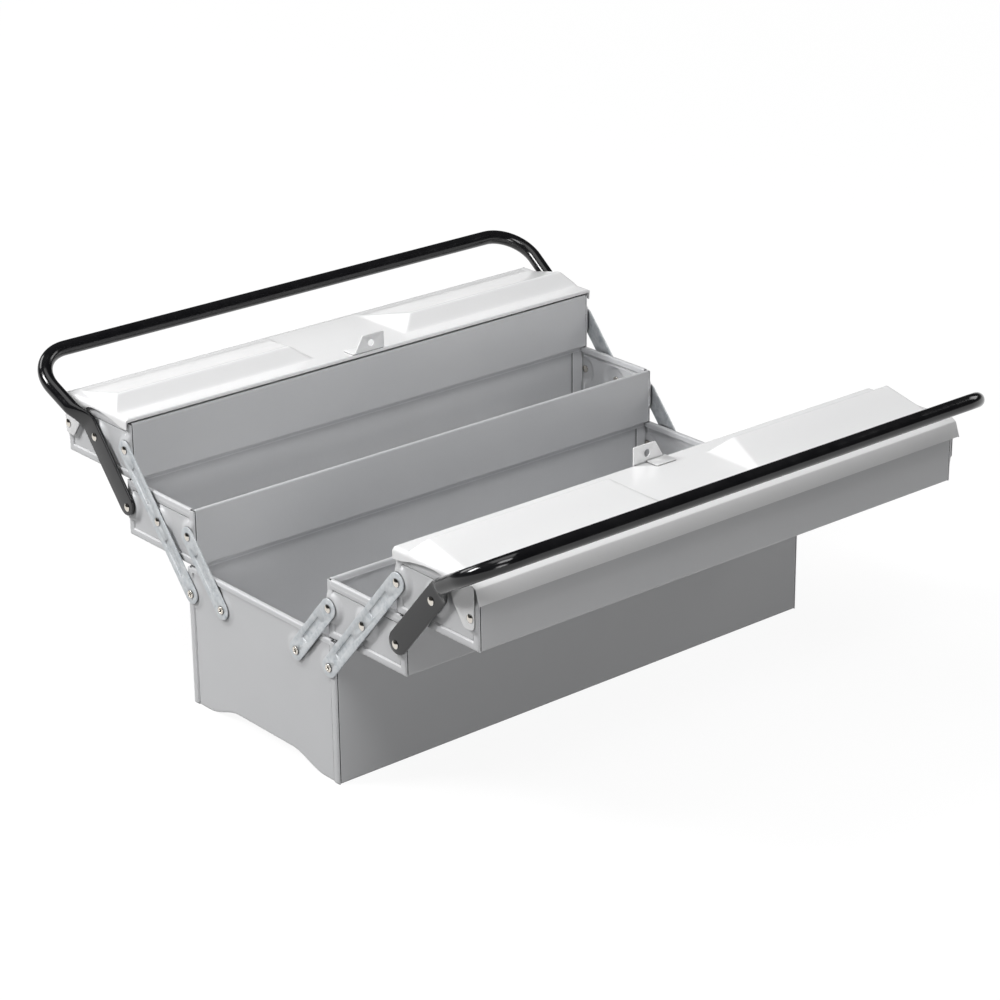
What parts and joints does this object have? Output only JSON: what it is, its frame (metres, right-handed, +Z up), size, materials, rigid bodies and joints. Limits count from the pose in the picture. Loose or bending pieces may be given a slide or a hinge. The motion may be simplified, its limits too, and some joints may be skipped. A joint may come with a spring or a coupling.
{
  "type": "cantilever tool box",
  "caption": "Folded sheet-steel cantilever tool box, shown open: tiers of trays on parallel links over a bottom box, with hinged lids, tube handles and padlock hasps.",
  "frame": {"origin": "on the floor, in the middle of the bottom box", "axes": "+X along the box, +Y from its front to its rear, +Z up; stored with the trays fully open and the lids shut"},
  "size_m": [0.5528, 0.6186, 0.2631],
  "materials": {
    "box_paint": "light grey enamel, satin",
    "lid_paint": "white enamel, glossy",
    "link_zinc": "bright zinc plating with a faint bluish bloom",
    "rivet_nickel": "bright nickel plating",
    "handle_paint": "dark grey to black lacquer, satin",
    "hasp_zinc": "zinc plating"
  },
  "bodies": {
    "bottom_box": {"bottom_shell": "box_paint", "bottom_end_left": "box_paint", "bottom_end_right": "box_paint", "bottom_rivets": "rivet_nickel"},
    "long_links_rear": {"long_link_left_rear": "link_zinc", "long_link_right_rear": "link_zinc"},
    "short_links_rear": {"short_link_left_rear": "link_zinc", "short_link_right_rear": "link_zinc"},
    "middle_tray_rear": {"middle_tray_rear": "box_paint", "middle_end_left_rear": "box_paint", "middle_end_right_rear": "box_paint", "middle_rivets_rear": "rivet_nickel"},
    "top_tray_rear": {"top_tray_rear": "box_paint", "top_end_left_rear": "box_paint", "top_end_right_rear": "box_paint", "top_rivets_rear": "rivet_nickel"},
    "handle_rear": {"handle_rear": "handle_paint"},
    "lid_rear": {"lid_rear": "lid_paint", "hasp_rear": "hasp_zinc"},
    "long_links_front": {"long_link_left_front": "link_zinc", "long_link_right_front": "link_zinc"},
    "short_links_front": {"short_link_left_front": "link_zinc", "short_link_right_front": "link_zinc"},
    "middle_tray_front": {"middle_tray_front": "box_paint", "middle_end_left_front": "box_paint", "middle_end_right_front": "box_paint", "middle_rivets_front": "rivet_nickel"},
    "top_tray_front": {"top_tray_front": "box_paint", "top_end_left_front": "box_paint", "top_end_right_front": "box_paint", "top_rivets_front": "rivet_nickel"},
    "handle_front": {"handle_front": "handle_paint"},
    "lid_front": {"lid_front": "lid_paint", "hasp_front": "hasp_zinc"}
  },
  "joints": [
    {"name": "rear_trays_swing", "type": "hinge", "parent": "bottom_box", "child": "long_links_rear", "pos_m": [0, 0.094, 0.1015], "axis": [1, 0, 0], "range_deg": [0, 79.9]},
    {"name": "rear_short_links_turn", "type": "hinge", "parent": "bottom_box", "child": "short_links_rear", "pos_m": [0, 0.051, 0.1015], "axis": [1, 0, 0], "range_deg": [0, 79.9]},
    {"name": "rear_middle_tray_level", "type": "hinge", "parent": "long_links_rear", "child": "middle_tray_rear", "pos_m": [0, 0.1381, 0.1523], "axis": [1, 0, 0], "range_deg": [-79.9, 0]},
    {"name": "rear_top_tray_level", "type": "hinge", "parent": "long_links_rear", "child": "top_tray_rear", "pos_m": [0, 0.1822, 0.2031], "axis": [1, 0, 0], "range_deg": [-79.9, 0]},
    {"name": "rear_handle_turn", "type": "hinge", "parent": "top_tray_rear", "child": "handle_rear", "pos_m": [0, 0.2252, 0.2031], "axis": [1, 0, 0], "range_deg": [0, 79.9]},
    {"name": "rear_lid_open", "type": "hinge", "parent": "top_tray_rear", "child": "lid_rear", "pos_m": [0, 0.2682, 0.2031], "axis": [-1, 0, 0], "range_deg": [0, 72]},
    {"name": "front_trays_swing", "type": "hinge", "parent": "bottom_box", "child": "long_links_front", "pos_m": [0, -0.094, 0.1015], "axis": [-1, 0, 0], "range_deg": [0, 79.9]},
    {"name": "front_short_links_turn", "type": "hinge", "parent": "bottom_box", "child": "short_links_front", "pos_m": [0, -0.051, 0.1015], "axis": [-1, 0, 0], "range_deg": [0, 79.9]},
    {"name": "front_middle_tray_level", "type": "hinge", "parent": "long_links_front", "child": "middle_tray_front", "pos_m": [0, -0.1381, 0.1523], "axis": [-1, 0, 0], "range_deg": [-79.9, 0]},
    {"name": "front_top_tray_level", "type": "hinge", "parent": "long_links_front", "child": "top_tray_front", "pos_m": [0, -0.1822, 0.2031], "axis": [-1, 0, 0], "range_deg": [-79.9, 0]},
    {"name": "front_handle_turn", "type": "hinge", "parent": "top_tray_front", "child": "handle_front", "pos_m": [0, -0.2252, 0.2031], "axis": [-1, 0, 0], "range_deg": [0, 79.9]},
    {"name": "front_lid_open", "type": "hinge", "parent": "top_tray_front", "child": "lid_front", "pos_m": [0, -0.2682, 0.2031], "axis": [1, 0, 0], "range_deg": [0, 72]}
  ],
  "couplings": [
    {"joint": "rear_short_links_turn", "follows": "rear_trays_swing", "ratio": 1},
    {"joint": "rear_middle_tray_level", "follows": "rear_trays_swing", "ratio": -1},
    {"joint": "rear_top_tray_level", "follows": "rear_trays_swing", "ratio": -1},
    {"joint": "rear_handle_turn", "follows": "rear_trays_swing", "ratio": 1},
    {"joint": "front_short_links_turn", "follows": "front_trays_swing", "ratio": 1},
    {"joint": "front_middle_tray_level", "follows": "front_trays_swing", "ratio": -1},
    {"joint": "front_top_tray_level", "follows": "front_trays_swing", "ratio": -1},
    {"joint": "front_handle_turn", "follows": "front_trays_swing", "ratio": 1}
  ]
}
